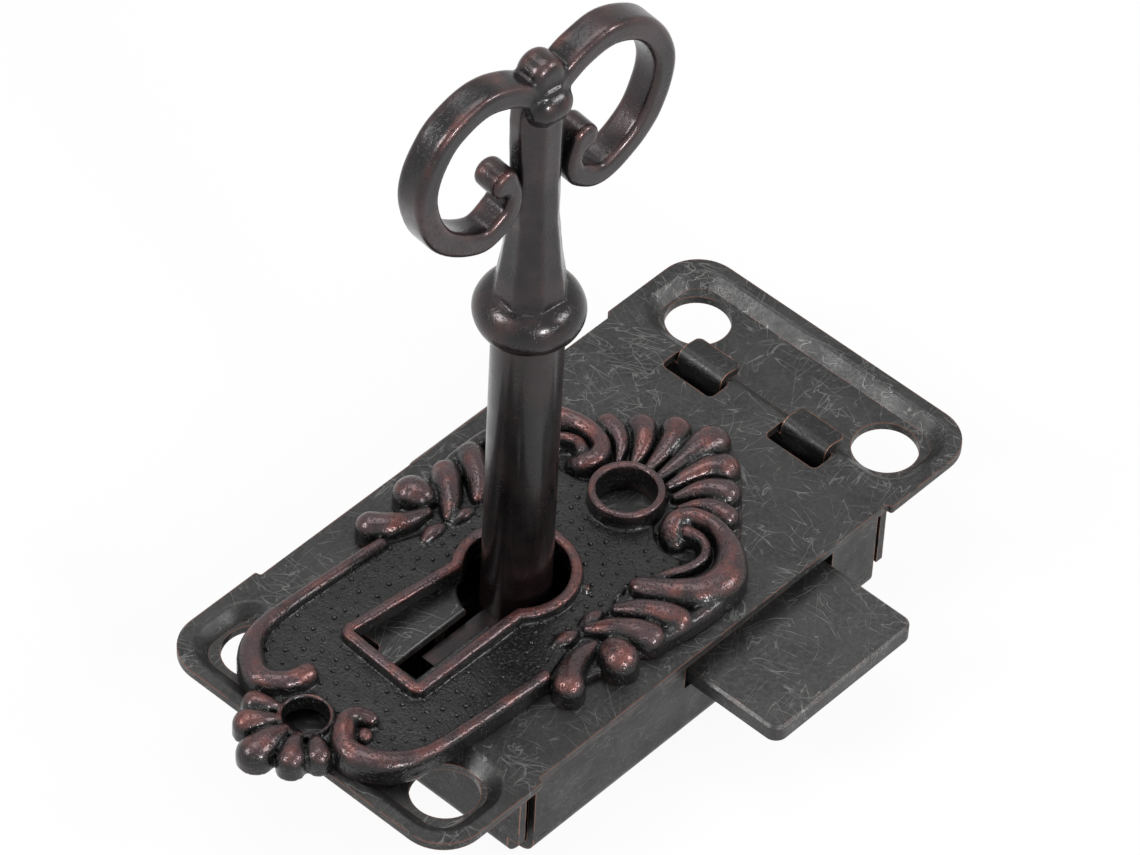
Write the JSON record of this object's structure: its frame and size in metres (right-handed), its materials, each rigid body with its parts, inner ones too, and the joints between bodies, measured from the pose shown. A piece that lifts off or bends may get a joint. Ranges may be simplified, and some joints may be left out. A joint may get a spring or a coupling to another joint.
{
  "type": "furniture latch",
  "caption": "Surface cabinet lock with a thrown flat bolt, a hollow-barrel key with a scroll bow, and a relief keyhole escutcheon resting on its plate.",
  "frame": {"origin": "middle of the four screw holes, on the cap plate's door side", "axes": "+X along the plate, away from the keyhole; the bolt is thrown towards -Y; +Z out of the plate along the key"},
  "size_m": [0.0753, 0.0452, 0.0746],
  "materials": {
    "pressed_steel": "dark antique bronze plating on pressed sheet, fine hair scratches, copper-red on worn edges",
    "bolt_steel": "dark antique plating on a flat steel bar, fine hair scratches",
    "plain_steel": "bare turned or pressed steel, oiled",
    "cast_metal": "dark oil-rubbed bronze on a casting, semi-gloss, copper-red on worn high points"
  },
  "bodies": {
    "lock": {"lock_case": "pressed_steel", "cap_plate": "pressed_steel", "ward_ring": "plain_steel", "guide_stud": "plain_steel"},
    "pin": {"drill_pin": "plain_steel"},
    "key": {"key": "cast_metal"},
    "bolt": {"bolt": "bolt_steel", "bolt_spring": "plain_steel", "spring_rivet": "plain_steel"},
    "escutcheon": {"escutcheon": "cast_metal"}
  },
  "joints": [
    {"name": "key_turn", "type": "hinge", "parent": "lock", "child": "pin", "pos_m": [-0.0078, 0, 0], "axis": [0, 0, 1], "range_deg": [0, 360]},
    {"name": "key_insert", "type": "slide", "parent": "pin", "child": "key", "axis": [0, 0, 1], "range_m": [0, 0.03]},
    {"name": "bolt_slide", "type": "slide", "parent": "lock", "child": "bolt", "axis": [0, 1, 0], "range_m": [0, 0.0097]},
    {"name": "escutcheon_lift", "type": "slide", "parent": "lock", "child": "escutcheon", "axis": [0, 0, 1], "range_m": [0, 0.018]}
  ],
  "couplings": [
    {"joint": "bolt_slide", "follows": "key_turn", "m_per_rad": 0.0015438}
  ]
}
